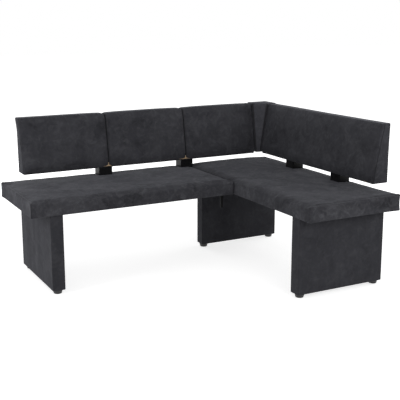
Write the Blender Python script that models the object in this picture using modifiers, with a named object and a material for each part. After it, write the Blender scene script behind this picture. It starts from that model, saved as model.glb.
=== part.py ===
"""An upholstered corner bench.

A long element and a wing element meet at the inner corner. Each is a padded seat on panel legs, with a padded
back standing on two steel posts that pass through the seat. A wedge of padding fills the corner between the
two backs. Metres, +Z up, the floor at z = 0, the long side along X, the wing along Y, the backs at +X and +Y.
"""
from math import pi, radians

import bmesh
import bpy
from mathutils import Vector

# The whole bench
LENGTH = 1.670             # over the long side
WIDTH = 1.238              # over the wing
SEAT_DEPTH = 0.540
SEAT_TOP = 0.490           # highest point of the seat's crown
SEAT_THICK = 0.083
FOOT_HEIGHT = 0.020
JOINT_GAP = 0.0008         # between the two seats where they meet

# Clearances
GAP = 0.0003               # between rigid pieces that touch
SOFT_GAP = 0.0005          # between a cover and what fills it
HOLE_GAP = 0.0003          # round a bolt, screw, dowel or stem

# Seats
SEAT_BOARD = 0.022
SEAT_CROWN = 0.0015        # how far the top drops from its middle to its edges
SEAT_PULL = 0.0015         # how far the tight cover draws the sides in at mid height
SEAT_ROUND = 0.016         # top edges
SEAT_WALL_ROUND = 0.008    # top edges along the walls
SEAT_CORNER_ROUND = 0.004  # upright edges, where the cover is sewn
SEAT_UNDER_ROUND = 0.005   # edges under the seat
SEAT_LIP = 0.030           # cover turned under the board
COVER = 0.0015             # seat and back cover, fabric on its backing
CLOTH = 0.001              # dust cloth under the seat
CLOTH_SETBACK = 0.012

# Legs
LEG_THICK = 0.067
LEG_SETBACK = 0.0125       # from the seat's front and back edges
LEG_COVER = 0.003          # fabric on thin wadding
LEG_ROUND = 0.005
LEG_LIP = 0.014            # cover turned under the panel
LEFT_LEG_INSET = 0.097     # of the panel and of the long back, from the long element's free end
FRONT_LEG_INSET = 0.090    # of the panel and of the wing back, from the wing's free end
MIDDLE_LEG_INSET = 0.082   # from the wing's end at the back
GLIDE_INSET = 0.028        # glide's middle from the end of the panel
GLIDE_TOP_RADIUS = 0.0245
GLIDE_FLOOR_RADIUS = 0.018
GLIDE_RIM = 0.005          # straight rim under the panel
GLIDE_SOLE_EDGE = 0.0024
GLIDE_STEM_RADIUS = 0.004
GLIDE_STEM_LENGTH = 0.028
LEG_BOLT_INSET = 0.110     # bolt from the end of the panel

# Backs
BACK_GAP = 0.047           # clear height between a seat and its back
BACK_HEIGHT = 0.293
BACK_THICK_BOTTOM = 0.114
BACK_THICK_TOP = 0.063
BACK_CROWN = 0.004         # front face, from the middle of a section to its seams and its top edge
BACK_DIP = 0.003           # top face, at the seams
BACK_ROUND = 0.015         # top front edge
BACK_UNDER_ROUND = 0.006   # bottom front edge
BACK_END_ROUND = 0.008     # edges of the flat end faces
BACK_REAR_ROUND = 0.005
BACK_BOARD = 0.018
BACK_RAIL = 0.020          # lies flat along the bottom, in front of the board
RAIL_SETBACK = 0.020       # of the rail from the front of the back
LONG_BACK_SECTIONS = (0.484, 0.481)  # sewn widths from the free end, before the last section
CORNER_LONG_REACH = 0.026  # of the corner wedge along the long side, past the wing back's front
CORNER_WING_REACH = 0.006  # and along the wing, past the long back's front
CORNER_LIFT = 0.008        # its underside above the backs' undersides
CORNER_DOME = 0.005
CORNER_ROUND = 0.009
CORNER_BLOCK_DROP = 0.035  # the block stops this far below the top

# Posts between seats and backs
POST_WIDTH = 0.078         # along the back
POST_DEPTH = 0.070
POST_SETBACK = 0.010       # behind the post
POST_WALL = 0.003
POST_END = 0.004           # plates welded in its ends
POST_ROUND = 0.004
POST_FROM_SEAM = 0.0115    # left post's middle, from the long back's first seam towards the free end
POST_FROM_JOINT = 0.051    # right post's middle, from the joint between the seats
POST_FROM_CORNER = 0.2715  # rear wing post's middle, from the corner wedge
POST_FROM_END = 0.330      # front wing post's middle, from the wing back's free end
POST_BOLT_SPREAD = 0.040   # between the two bolts in a post
POST_BOLT_COVER = 0.003    # wood left above a post bolt's end

# Fasteners
BOLT_RADIUS = 0.004
BOLT_HEAD_RADIUS = 0.0085
BOLT_HEAD = 0.005
LEG_BOLT_LENGTH = 0.080
DOWEL_RADIUS = 0.004
DOWEL_LENGTH = 0.044
DOWEL_FROM_BOTTOM = 0.065
DOWEL_FROM_TOP = 0.085

# Plates that hold the two elements together
STRAP_WIDTH = 0.030
STRAP_THICK = 0.003
STRAP_FROM_BACK = 0.225    # rear strap's middle, from the back of the seats
STRAP_FROM_FRONT = 0.150   # hooked strap's middle, from the front of the long seat
HOOK_LENGTH = 0.100
HOOK_ROOT = 0.024
HOOK_TIP = 0.012
SCREW_RADIUS = 0.0025
SCREW_HEAD_RADIUS = 0.005
SCREW_HEAD = 0.0025
SCREW_LENGTH = 0.020
SCREW_FROM_LIP = 0.016     # screw's middle, from the edge of the cover's lip
SCREW_FROM_END = 0.014     # screw's middle, from the end of the strap

# Places that follow from these
X_LEFT, X_RIGHT = -LENGTH / 2, LENGTH / 2
Y_BACK = WIDTH / 2
SEAT_BOTTOM = SEAT_TOP - SEAT_THICK
LONG_SEAT = LENGTH - SEAT_DEPTH - JOINT_GAP
COVER_BOTTOM = SEAT_BOTTOM + CLOTH + GAP
BOARD_BOTTOM = COVER_BOTTOM + COVER + GAP
BOARD_TOP = BOARD_BOTTOM + SEAT_BOARD
FOAM_BOTTOM = BOARD_TOP + GAP
COVER_INSET = COVER + SOFT_GAP
LEG_INSET = LEG_COVER + SOFT_GAP
LEG_TOP = SEAT_BOTTOM - GAP
BACK_BOTTOM = SEAT_TOP + BACK_GAP
BACK_TOP = BACK_BOTTOM + BACK_HEIGHT
BACK_SLOPE = (BACK_THICK_BOTTOM - BACK_THICK_TOP) / BACK_HEIGHT
RAIL_BOTTOM = BACK_BOTTOM + COVER + GAP
CORNER_LONG = BACK_THICK_BOTTOM + CORNER_LONG_REACH
CORNER_WING = BACK_THICK_BOTTOM + CORNER_WING_REACH
FIRST_SEAM = LEFT_LEG_INSET + LONG_BACK_SECTIONS[0]
LONG_BACK = (LEFT_LEG_INSET, FIRST_SEAM, FIRST_SEAM + LONG_BACK_SECTIONS[1], LENGTH - CORNER_LONG)
WING_BACK = (CORNER_WING, WIDTH - FRONT_LEG_INSET)
LONG_POSTS = (FIRST_SEAM - POST_FROM_SEAM, LONG_SEAT - POST_FROM_JOINT)
WING_POSTS = (WING_BACK[0] + POST_FROM_CORNER, WING_BACK[1] - POST_FROM_END)
POST_MIDDLE = -(POST_SETBACK + POST_DEPTH / 2)
DOWEL_HEIGHTS = (BACK_BOTTOM + DOWEL_FROM_BOTTOM, BACK_TOP - DOWEL_FROM_TOP)
STRAPS_FROM_BACK = (STRAP_FROM_BACK, SEAT_DEPTH - STRAP_FROM_FRONT)
SCREW_FROM_JOINT = SEAT_LIP + SCREW_FROM_LIP
STRAP_LENGTH = 2 * (SCREW_FROM_JOINT + SCREW_FROM_END)

# Rows of vertices, as shares of a half length
CROWN_ROWS = (-0.90, -0.60, 0.0, 0.60, 0.90)
SECTION_ROWS = (-0.84, 0.0, 0.84)
BACK_ROWS = (-0.72, 0.0, 0.72)
FLATNESS = 4               # power of the crowns: flat in the middle, falling towards the edges
AT_SIDE = 0.99             # share of a half length beyond which a vertex lies on the side
SHARP = radians(50)
BEVEL_SEGMENTS = 3
ROUND_STEPS = 12


def clear_scene():
    for obj in list(bpy.data.objects):
        bpy.data.objects.remove(obj, do_unlink=True)


def new_collection(name):
    collection = bpy.data.collections.new(name)
    bpy.context.scene.collection.children.link(collection)
    return collection


def new_material(name, colour, roughness, metallic=0.0):
    material = bpy.data.materials.new(name)
    material.use_nodes = True
    shader = material.node_tree.nodes["Principled BSDF"]
    shader.inputs["Base Color"].default_value = (*colour, 1.0)
    shader.inputs["Roughness"].default_value = roughness
    shader.inputs["Metallic"].default_value = metallic
    return material


clear_scene()
PARTS = new_collection("corner_bench")
CUTTERS = new_collection("cutters")
FABRIC = new_material("anthracite_microfibre", (0.040, 0.041, 0.045), 0.90)
DUST_CLOTH = new_material("black_dust_cloth", (0.010, 0.010, 0.011), 0.95)
FOAM = new_material("polyether_foam", (0.72, 0.66, 0.42), 0.95)
PLYWOOD = new_material("birch_plywood", (0.55, 0.39, 0.22), 0.65)
CHIPBOARD = new_material("chipboard", (0.42, 0.31, 0.19), 0.80)
BEECH = new_material("beech", (0.60, 0.40, 0.24), 0.60)
BLACK_STEEL = new_material("black_powder_coated_steel", (0.012, 0.012, 0.013), 0.45, 0.3)
ZINC = new_material("zinc_plated_steel", (0.60, 0.61, 0.63), 0.35, 1.0)
PLASTIC = new_material("black_plastic", (0.010, 0.010, 0.010), 0.50)


def add_frame(name, location, turn=0.0):
    """An empty that carries one element of the bench."""
    frame = bpy.data.objects.new(name, None)
    PARTS.objects.link(frame)
    frame.location = location
    frame.rotation_euler[2] = turn
    return frame


def add_object(name, bm, parent, location=(0, 0, 0), material=None):
    """A part where a material is given, and a cutter where none is."""
    mesh = bpy.data.meshes.new(name)
    bm.to_mesh(mesh)
    bm.free()
    obj = bpy.data.objects.new(name, mesh)
    obj.parent = parent
    obj.location = location
    if material:
        mesh.materials.append(material)
        PARTS.objects.link(obj)
    else:
        CUTTERS.objects.link(obj)
        obj.hide_render = True
        obj.display_type = "WIRE"
    return obj


def cage(low, high, rows_x=(), rows_y=(), rows_z=()):
    """A box between two corners, with a row of vertices at each given share of a half side."""
    low, high = Vector(low), Vector(high)
    middle, half = (low + high) / 2, (high - low) / 2
    bm = bmesh.new()
    bmesh.ops.create_cube(bm, size=2.0)
    bmesh.ops.scale(bm, vec=half, verts=bm.verts)
    bmesh.ops.translate(bm, vec=middle, verts=bm.verts)
    for axis, rows in enumerate((rows_x, rows_y, rows_z)):
        normal = Vector([float(k == axis) for k in range(3)])
        for share in rows:
            point = normal * (middle[axis] + share * half[axis])
            geometry = bm.verts[:] + bm.edges[:] + bm.faces[:]
            bmesh.ops.bisect_plane(bm, geom=geometry, plane_co=point, plane_no=normal)
    return bm


def is_upright(along):
    return abs(along.z) > 0.9


def round_edges(bm, radius_at):
    """Weighs each sharp edge by the radius that radius_at gives for its middle and direction."""
    weight = bm.edges.layers.float.new("bevel_weight_edge")
    bm.normal_update()
    sharp = [edge for edge in bm.edges if edge.is_manifold and edge.calc_face_angle() > SHARP]
    radii = []
    for edge in sharp:
        first, last = (vert.co for vert in edge.verts)
        radii.append(radius_at((first + last) / 2, (last - first).normalized()))
    widest = max(radii)
    for edge, radius in zip(sharp, radii):
        edge[weight] = radius / widest
    return widest


def add_bevel(obj, width):
    bevel = obj.modifiers.new("rounded edges", "BEVEL")
    bevel.limit_method = "WEIGHT"
    bevel.width = width
    bevel.segments = BEVEL_SEGMENTS


def add_shell(obj, thickness):
    """Keeps only a skin of the given thickness, inside the outer form."""
    shell = obj.modifiers.new("skin", "SOLIDIFY")
    shell.thickness = thickness
    shell.offset = -1.0
    shell.use_even_offset = True


def cut(obj, *cutters):
    for cutter in cutters:
        boolean = obj.modifiers.new("cut by " + cutter.name, "BOOLEAN")
        boolean.operation = "DIFFERENCE"
        boolean.object = cutter


def box_part(name, low, high, parent, material, upright_round=0.0, all_round=0.0):
    """A plain board or plate whose upright edges, or all of them, are rounded."""
    def radius_at(middle, along):
        return all_round or (upright_round if is_upright(along) else 0.0)

    bm = cage(low, high)
    width = round_edges(bm, radius_at) if upright_round or all_round else 0.0
    obj = add_object(name, bm, parent, material=material)
    if width:
        add_bevel(obj, width)
    return obj


def box_cutter(name, low, high, parent):
    return add_object(name, cage(low, high), parent)


def turned(name, profile, parent, location, material=None, along="Z"):
    """A turned piece: its profile, (radius, height) from the top down its outer side, swept about Z."""
    bm = bmesh.new()
    verts = [bm.verts.new((radius, 0, height)) for radius, height in profile]
    for first, last in zip(verts, verts[1:]):
        bm.edges.new((first, last))
    obj = add_object(name, bm, parent, location, material)
    obj.rotation_euler = {"Z": (0, 0, 0), "X": (0, pi / 2, 0), "Y": (-pi / 2, 0, 0)}[along]
    screw = obj.modifiers.new("turning", "SCREW")
    screw.axis = "Z"
    screw.angle = 2 * pi
    screw.steps = screw.render_steps = ROUND_STEPS
    screw.use_merge_vertices = True
    screw.merge_threshold = 1e-5
    return obj


def headed_pin(radius, head_radius, head, length, grow=0.0, reach=0.0):
    """The profile of a bolt or screw whose head starts at height 0 and rises, its shank hanging down.

    grow widens it for a clearance hole, and reach carries the head's recess further up.
    """
    top = head + grow + reach
    return [(0, top), (head_radius + grow, top), (head_radius + grow, -grow), (radius + grow, -grow),
            (radius + grow, -length - grow), (0, -length - grow)]


def add_pin(name, parent, location, sizes, head_down=False, reach=0.0):
    """A bolt or screw and the cutter that makes its holes, which is returned."""
    pin = turned(name, headed_pin(*sizes), parent, location, ZINC)
    hole = turned(name + "_hole", headed_pin(*sizes, grow=HOLE_GAP, reach=reach), parent, location)
    if head_down:
        pin.rotation_euler = hole.rotation_euler = (pi, 0, 0)
    return hole


def seat_pull(z):
    """How far the seat's side is drawn in at a height."""
    half = (SEAT_TOP - COVER_BOTTOM) / 2
    return SEAT_PULL * max(0.0, 1 - abs(z - COVER_BOTTOM - half) / half)


def seat_cage(length, bottom, inset):
    """The crowned form of a seat between x = 0 and its length, or what fits inside it at an inset."""
    top = SEAT_TOP - inset
    middle = (SEAT_TOP + COVER_BOTTOM) / 2
    waist = (middle - (top + bottom) / 2) / ((top - bottom) / 2)
    low, high = (inset, -SEAT_DEPTH + inset, bottom), (length - inset, -inset, top)
    bm = cage(low, high, CROWN_ROWS, CROWN_ROWS, (waist,))
    centre = Vector((length / 2, -SEAT_DEPTH / 2, 0))
    half = Vector((length / 2 - inset, SEAT_DEPTH / 2 - inset, 1))
    for vert in bm.verts:
        share_x, share_y = ((vert.co[k] - centre[k]) / half[k] for k in (0, 1))
        fade_x, fade_y = 1 - share_x ** FLATNESS, 1 - share_y ** FLATNESS
        pull = seat_pull(vert.co.z)
        if vert.co.z > top - GAP:
            vert.co.z -= SEAT_CROWN * (1 - fade_x * fade_y)
        if abs(share_x) > AT_SIDE:
            vert.co.x -= pull * share_x * fade_y
        if abs(share_y) > AT_SIDE:
            vert.co.y -= pull * share_y * fade_x
    return bm


def seat(name, frame, length, post_openings, end_at_wall=False):
    """Board, foam, cover and dust cloth. Returns what the legs' and posts' bolts pass through.

    Its long rear edge is at a wall, and so is its end at x = 0 where end_at_wall says so.
    """
    def cover_radius(middle, along):
        if middle.z < COVER_BOTTOM + GAP:
            return SEAT_UNDER_ROUND
        if is_upright(along):
            return SEAT_CORNER_ROUND
        near = COVER_INSET + GAP
        at_wall = middle.y > -near or end_at_wall and middle.x < near
        return SEAT_WALL_ROUND if at_wall else SEAT_ROUND

    def foam_radius(middle, along):
        """As the cover's, less the inset, but with more room in the sewn corners."""
        if middle.z < FOAM_BOTTOM + GAP:
            return 0.0
        return SEAT_CORNER_ROUND if is_upright(along) else cover_radius(middle, along) - COVER_INSET

    bm = seat_cage(length, COVER_BOTTOM, 0.0)
    width = round_edges(bm, cover_radius)
    cover = add_object(name + "_cover", bm, frame, material=FABRIC)
    add_bevel(cover, width)
    add_shell(cover, COVER)
    below = box_cutter(name + "_cover_opening", (SEAT_LIP, -SEAT_DEPTH + SEAT_LIP, SEAT_BOTTOM),
                       (length - SEAT_LIP, -SEAT_LIP, BOARD_BOTTOM), frame)
    cut(cover, below, *post_openings)

    bm = seat_cage(length, FOAM_BOTTOM, COVER_INSET)
    width = round_edges(bm, foam_radius)
    foam = add_object(name + "_foam", bm, frame, material=FOAM)
    add_bevel(foam, width)
    cut(foam, *post_openings)

    edge = SEAT_UNDER_ROUND
    board = box_part(name + "_board", (edge, -SEAT_DEPTH + edge, BOARD_BOTTOM),
                     (length - edge, -edge, BOARD_TOP), frame, PLYWOOD,
                     upright_round=SEAT_CORNER_ROUND - COVER_INSET)
    low = (CLOTH_SETBACK, -SEAT_DEPTH + CLOTH_SETBACK, SEAT_BOTTOM)
    high = (length - CLOTH_SETBACK, -CLOTH_SETBACK, SEAT_BOTTOM + CLOTH)
    cloth = box_part(name + "_dust_cloth", low, high, frame, DUST_CLOTH, upright_round=SEAT_ROUND / 2)
    return board, cloth


def leg(name, frame, start, ends, board, cloth):
    """A covered panel across the seat at x = start, on two glides, hung from the seat's board by two bolts.

    ends names the glide and the bolt at the back of the seat and the ones at its front.
    """
    low = Vector((start, LEG_SETBACK - SEAT_DEPTH, FOOT_HEIGHT))
    high = Vector((start + LEG_THICK, -LEG_SETBACK, LEG_TOP))
    inset = Vector((LEG_INSET, LEG_INSET, 0))
    core_low = low + Vector((LEG_INSET, LEG_INSET, LEG_COVER + GAP))
    core = box_part(name + "_core", core_low, high - inset, frame, CHIPBOARD,
                    upright_round=LEG_ROUND - LEG_INSET)

    spare = Vector((0, 0, LEG_THICK))
    cover = box_part(name + "_cover", low, high + spare, frame, FABRIC, upright_round=LEG_ROUND)
    add_shell(cover, LEG_COVER)
    hem = Vector((LEG_LIP, LEG_LIP, 0))
    sole_top = (high.x - LEG_LIP, high.y - LEG_LIP, FOOT_HEIGHT + LEG_LIP)
    sole = box_cutter(name + "_sole_opening", low + hem - spare, sole_top, frame)
    head = box_cutter(name + "_head_opening", (low.x - LEG_LIP, low.y - LEG_LIP, high.z),
                      high + hem + 2 * spare, frame)
    cut(cover, sole, head)

    middle_x = start + LEG_THICK / 2
    bolt_z = BOARD_TOP - BOLT_HEAD - GAP
    sizes = (BOLT_RADIUS, BOLT_HEAD_RADIUS, BOLT_HEAD, LEG_BOLT_LENGTH)
    for end, edge, inward in ((ends[0], high.y, -1), (ends[1], low.y, 1)):
        cut(core, glide(f"{name}_glide_{end}", frame, (middle_x, edge + inward * GLIDE_INSET, 0)))
        hole = add_pin(f"{name}_bolt_{end}", frame, (middle_x, edge + inward * LEG_BOLT_INSET, bolt_z), sizes,
                       reach=BOLT_HEAD)
        for host in (board, cloth, core):
            cut(host, hole)


def glide(name, frame, location):
    """A tapered plastic glide on a pressed-in stem. Returns the cutter for the stem's hole."""
    top = FOOT_HEIGHT - GAP
    stem_top = top + GLIDE_STEM_LENGTH
    stem = [(0, stem_top), (GLIDE_STEM_RADIUS, stem_top), (GLIDE_STEM_RADIUS, top)]
    foot = [(GLIDE_TOP_RADIUS, top), (GLIDE_TOP_RADIUS, FOOT_HEIGHT - GLIDE_RIM),
            (GLIDE_FLOOR_RADIUS + GLIDE_SOLE_EDGE, GLIDE_SOLE_EDGE), (GLIDE_FLOOR_RADIUS, 0), (0, 0)]
    turned(name, stem + foot, frame, location, PLASTIC)
    radius = GLIDE_STEM_RADIUS + HOLE_GAP
    hole_top = stem_top + HOLE_GAP
    return turned(name + "_hole", [(0, hole_top), (radius, hole_top), (radius, 0), (0, 0)], frame, location)


def section_share(x, seams):
    """Where x lies between the seams or ends on either side of it: -1 and 1 at them, 0 halfway."""
    low = max([seam for seam in seams[:-1] if seam < x + GAP], default=seams[0])
    high = min(seam for seam in seams if seam > low)
    return max(-1.0, min(1.0, (2 * x - low - high) / (high - low)))


def back_cage(seams, inset, rear):
    """The wedge of a back along X, crowned between its seams, or what fits inside it at an inset.

    seams starts and ends with the back's ends, and rear is the y of its flat rear face.
    """
    low, high = seams[0] + inset, seams[-1] - inset
    places = list(seams[1:-1])
    for first, last in zip(seams, seams[1:]):
        places += [(first + last + share * (last - first)) / 2 for share in SECTION_ROWS]
    rows_x = [(x - (low + high) / 2) / ((high - low) / 2) for x in places]
    bm = cage((low, -1, BACK_BOTTOM + inset), (high, 0, BACK_TOP - inset), rows_x, (), BACK_ROWS)
    middle = (BACK_BOTTOM + BACK_TOP) / 2
    for vert in bm.verts:
        seam = section_share(vert.co.x, seams) ** FLATNESS
        rise = max(0.0, (vert.co.z - middle) / (BACK_HEIGHT / 2)) ** FLATNESS
        if vert.co.y < 0:
            thick = BACK_THICK_BOTTOM - BACK_SLOPE * (vert.co.z - BACK_BOTTOM)
            vert.co.y = inset - thick + BACK_CROWN * (1 - (1 - seam) * (1 - rise))
        else:
            vert.co.y = rear
        if vert.co.z > BACK_TOP - inset - GAP:
            vert.co.z -= BACK_DIP * seam
    return bm


def back(name, frame, seams, post_openings):
    """Board, rail, foam and cover of a back. Returns board, rail and cover, which the fasteners enter."""
    start, end = seams[0], seams[-1]

    def cover_radius(middle, along):
        if middle.y > -GAP:
            return BACK_REAR_ROUND
        if abs(along.x) < 0.5:
            return BACK_END_ROUND
        return BACK_UNDER_ROUND if middle.z < BACK_BOTTOM + BACK_UNDER_ROUND else BACK_ROUND

    def foam_radius(middle, along):
        return 0.0 if middle.y > rear - GAP else cover_radius(middle, along) - COVER_INSET

    bm = back_cage(seams, 0.0, 0.0)
    width = round_edges(bm, cover_radius)
    cover = add_object(name + "_cover", bm, frame, material=FABRIC)
    add_bevel(cover, width)
    add_shell(cover, COVER)
    cut(cover, *post_openings)

    edge = BACK_END_ROUND + SOFT_GAP
    board_low = Vector((start + edge, -COVER_INSET - BACK_BOARD, RAIL_BOTTOM))
    board_high = (end - edge, -COVER_INSET, BACK_TOP - COVER_INSET - BACK_REAR_ROUND / 2 - BACK_DIP)
    board = box_part(name + "_board", board_low, board_high, frame, PLYWOOD,
                     all_round=BACK_REAR_ROUND - COVER_INSET)
    rear = board_low.y - GAP
    rail_front, rail_top = RAIL_SETBACK - BACK_THICK_BOTTOM, RAIL_BOTTOM + BACK_RAIL
    rail = box_part(name + "_rail", (start + edge, rail_front, RAIL_BOTTOM), (end - edge, rear, rail_top),
                    frame, PLYWOOD)

    bm = back_cage(seams, COVER_INSET, rear)
    width = round_edges(bm, foam_radius)
    foam = add_object(name + "_foam", bm, frame, material=FOAM)
    add_bevel(foam, width)
    beyond = BACK_ROUND
    cut(foam, box_cutter(name + "_rail_room", (start - beyond, rail_front - GAP, BACK_BOTTOM - beyond),
                         (end + beyond, rear + beyond, rail_top + GAP), frame))
    return board, rail, cover


def post(name, frame, x, board, rail):
    """A closed steel post through the seat, clamped between its board and the back's rail by two bolts."""
    low = Vector((x - POST_WIDTH / 2, -POST_SETBACK - POST_DEPTH, BOARD_TOP + GAP))
    high = Vector((x + POST_WIDTH / 2, -POST_SETBACK, RAIL_BOTTOM - GAP))
    steel = box_part(name, low, high, frame, BLACK_STEEL, upright_round=POST_ROUND)
    wall = Vector((POST_WALL, POST_WALL, POST_END))
    cut(steel, box_cutter(name + "_hollow", low + wall, high - wall, frame))
    head_z = BOARD_BOTTOM + BOLT_HEAD
    sizes = (BOLT_RADIUS, BOLT_HEAD_RADIUS, BOLT_HEAD, RAIL_BOTTOM + BACK_RAIL - POST_BOLT_COVER - head_z)
    for side, offset in (("a", -POST_BOLT_SPREAD / 2), ("b", POST_BOLT_SPREAD / 2)):
        hole = add_pin(f"{name}_bolt_{side}", frame, (x + offset, POST_MIDDLE, head_z), sizes,
                       head_down=True, reach=GAP)
        for host in (board, steel, rail):
            cut(host, hole)


def post_opening(name, frame, x):
    """The room that a post takes in a seat's foam and cover and in the underside of a back's cover."""
    low = (x - POST_WIDTH / 2 - GAP, -POST_SETBACK - POST_DEPTH - GAP, BOARD_TOP - GAP)
    high = (x + POST_WIDTH / 2 + GAP, -POST_SETBACK + GAP, RAIL_BOTTOM + GAP)
    return box_cutter(name + "_opening", low, high, frame)


def corner_loft(inset):
    """The corner wedge about the bench's back corner: five-sided, its inner face cutting the corner off."""
    left, front = -CORNER_LONG + GAP + inset, -CORNER_WING + GAP + inset

    def ring(z):
        thick = BACK_THICK_BOTTOM - BACK_SLOPE * (z - BACK_BOTTOM) - inset
        plan = [(left, -inset), (-inset, -inset), (-inset, front), (-thick, front), (left, -thick)]
        return [bm.verts.new((x, y, z)) for x, y in plan]

    bm = bmesh.new()
    bottom, top = ring(BACK_BOTTOM + CORNER_LIFT + inset), ring(BACK_TOP - inset)
    bm.faces.new(bottom)
    lid = bm.faces.new(top)
    for index in range(len(top)):
        after = (index + 1) % len(top)
        bm.faces.new((bottom[index], bottom[after], top[after], top[index]))
    middle = bmesh.ops.poke(bm, faces=[lid])["verts"][0]
    middle.co.z += CORNER_DOME
    bmesh.ops.recalc_face_normals(bm, faces=bm.faces)
    return bm


def corner_angle(grow):
    """The plan of the angle of two boards behind the wedge, or of the room that it takes."""
    near = COVER_INSET + BACK_REAR_ROUND / 2
    far_x, far_y = CORNER_LONG - GAP - near + grow, CORNER_WING - GAP - near + grow
    inner, outer = COVER_INSET + BACK_BOARD + grow, near - grow
    return [(-far_x, -outer), (-outer, -outer), (-outer, -far_y), (-inner, -far_y), (-inner, -inner),
            (-far_x, -inner)]


def corner(frame):
    """Block, foam and cover of the wedge that fills the corner between the backs."""
    def radius_at(inset):
        def radius(middle, along):
            at_rear = is_upright(along) and max(middle.x, middle.y) > -inset - GAP
            return (BACK_REAR_ROUND if at_rear else CORNER_ROUND) - inset
        return radius

    bm = corner_loft(0.0)
    width = round_edges(bm, radius_at(0.0))
    cover = add_object("corner_cover", bm, frame, material=FABRIC)
    add_bevel(cover, width)
    add_shell(cover, COVER)

    bottom, top = BACK_BOTTOM + CORNER_LIFT + CORNER_ROUND, BACK_TOP - CORNER_BLOCK_DROP
    block = add_object("corner_block", prism(corner_angle(0.0), bottom, top), frame, material=PLYWOOD)
    room = add_object("corner_block_room", prism(corner_angle(GAP), bottom - GAP, top + GAP), frame)

    bm = corner_loft(COVER_INSET)
    width = round_edges(bm, radius_at(COVER_INSET))
    foam = add_object("corner_foam", bm, frame, material=FOAM)
    add_bevel(foam, width)
    cut(foam, room)
    return block, foam, cover


def prism(plan, bottom, top):
    """A flat outline carried straight up."""
    bm = bmesh.new()
    face = bm.faces.new([bm.verts.new((x, y, bottom)) for x, y in plan])
    extruded = bmesh.ops.extrude_face_region(bm, geom=[face])
    raised = [item for item in extruded["geom"] if isinstance(item, bmesh.types.BMVert)]
    bmesh.ops.translate(bm, vec=(0, 0, top - bottom), verts=raised)
    bmesh.ops.recalc_face_normals(bm, faces=bm.faces)
    return bm


def dowel(name, frame, location, along, hosts):
    """A plain dowel across a joint between a back and the corner wedge."""
    def profile(grow):
        half, radius = DOWEL_LENGTH / 2 + grow, DOWEL_RADIUS + grow
        return [(0, half), (radius, half), (radius, -half), (0, -half)]

    turned(name, profile(0.0), frame, location, BEECH, along)
    hole = turned(name + "_hole", profile(HOLE_GAP), frame, location, along=along)
    for host in hosts:
        cut(host, hole)


def strap(name, frame, from_back, hooked, boards, cloths):
    """A flat steel strap across the joint, under both seats. The front one carries a hook that hangs down."""
    joint = LONG_SEAT + JOINT_GAP / 2
    high = SEAT_BOTTOM - GAP
    low = high - STRAP_THICK
    front = -from_back - STRAP_WIDTH / 2
    steel = box_part(name, (joint - STRAP_LENGTH / 2, front, low),
                     (joint + STRAP_LENGTH / 2, front + STRAP_WIDTH, high), frame, BLACK_STEEL)
    if hooked:
        root, tip = HOOK_ROOT / 2, HOOK_TIP / 2
        plan = [(-root, 0), (root, 0), (tip, -HOOK_LENGTH), (-tip, -HOOK_LENGTH)]
        tongue = add_object(name + "_tongue", prism(plan, 0, STRAP_THICK), frame,
                            (joint, front + STRAP_THICK, low + STRAP_THICK / 2))
        tongue.rotation_euler[0] = pi / 2
        union = steel.modifiers.new("tongue", "BOOLEAN")
        union.operation = "UNION"
        union.object = tongue
    sizes = (SCREW_RADIUS, SCREW_HEAD_RADIUS, SCREW_HEAD, SCREW_LENGTH)
    for side, offset, board, cloth in (("left", -SCREW_FROM_JOINT, boards[0], cloths[0]),
                                       ("right", SCREW_FROM_JOINT, boards[1], cloths[1])):
        hole = add_pin(f"{name}_screw_{side}", frame, (joint + offset, -from_back, low - GAP), sizes,
                       head_down=True)
        for host in (steel, cloth, board):
            cut(host, hole)


long_frame = add_frame("long_element", (X_LEFT, Y_BACK, 0))
wing_frame = add_frame("wing_element", (X_RIGHT, Y_BACK, 0), -pi / 2)
corner_frame = add_frame("corner_wedge", (X_RIGHT, Y_BACK, 0))

long_places = list(zip(("long_post_left", "long_post_right"), LONG_POSTS))
wing_places = list(zip(("wing_post_rear", "wing_post_front"), WING_POSTS))
long_openings = [post_opening(name, long_frame, x) for name, x in long_places]
wing_openings = [post_opening(name, wing_frame, x) for name, x in wing_places]

long_board, long_cloth = seat("long_seat", long_frame, LONG_SEAT, long_openings)
wing_board, wing_cloth = seat("wing_seat", wing_frame, WIDTH, wing_openings, end_at_wall=True)

leg("left_leg", long_frame, LEFT_LEG_INSET, ("rear", "front"), long_board, long_cloth)
leg("middle_leg", wing_frame, MIDDLE_LEG_INSET, ("right", "left"), wing_board, wing_cloth)
leg("front_leg", wing_frame, WIDTH - FRONT_LEG_INSET - LEG_THICK, ("right", "left"), wing_board, wing_cloth)

long_back_board, long_rail, long_back_cover = back("long_back", long_frame, LONG_BACK, long_openings)
wing_back_board, wing_rail, wing_back_cover = back("wing_back", wing_frame, WING_BACK, wing_openings)

for post_name, x in long_places:
    post(post_name, long_frame, x, long_board, long_rail)
for post_name, x in wing_places:
    post(post_name, wing_frame, x, wing_board, wing_rail)

corner_block, corner_foam, corner_cover = corner(corner_frame)
board_middle = -(COVER_INSET + BACK_BOARD / 2)
for level, height in zip(("lower", "upper"), DOWEL_HEIGHTS):
    dowel(f"corner_dowel_long_{level}", corner_frame, (-CORNER_LONG, board_middle, height), "X",
          (corner_block, corner_foam, corner_cover, long_back_board, long_back_cover))
    dowel(f"corner_dowel_wing_{level}", corner_frame, (board_middle, -CORNER_WING, height), "Y",
          (corner_block, corner_foam, corner_cover, wing_back_board, wing_back_cover))

for strap_name, from_back, hooked in zip(("joint_strap", "joint_hook_strap"), STRAPS_FROM_BACK, (False, True)):
    strap(strap_name, long_frame, from_back, hooked, (long_board, wing_board), (long_cloth, wing_cloth))
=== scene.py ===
"""Corner bench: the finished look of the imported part.

A long element and a wing, each a padded seat on covered panel legs, with padded backs on steel posts and a
padded wedge between the backs. Metres, the part's own frame: X along the long side, Y towards the wall behind
it, Z up.
"""

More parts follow.
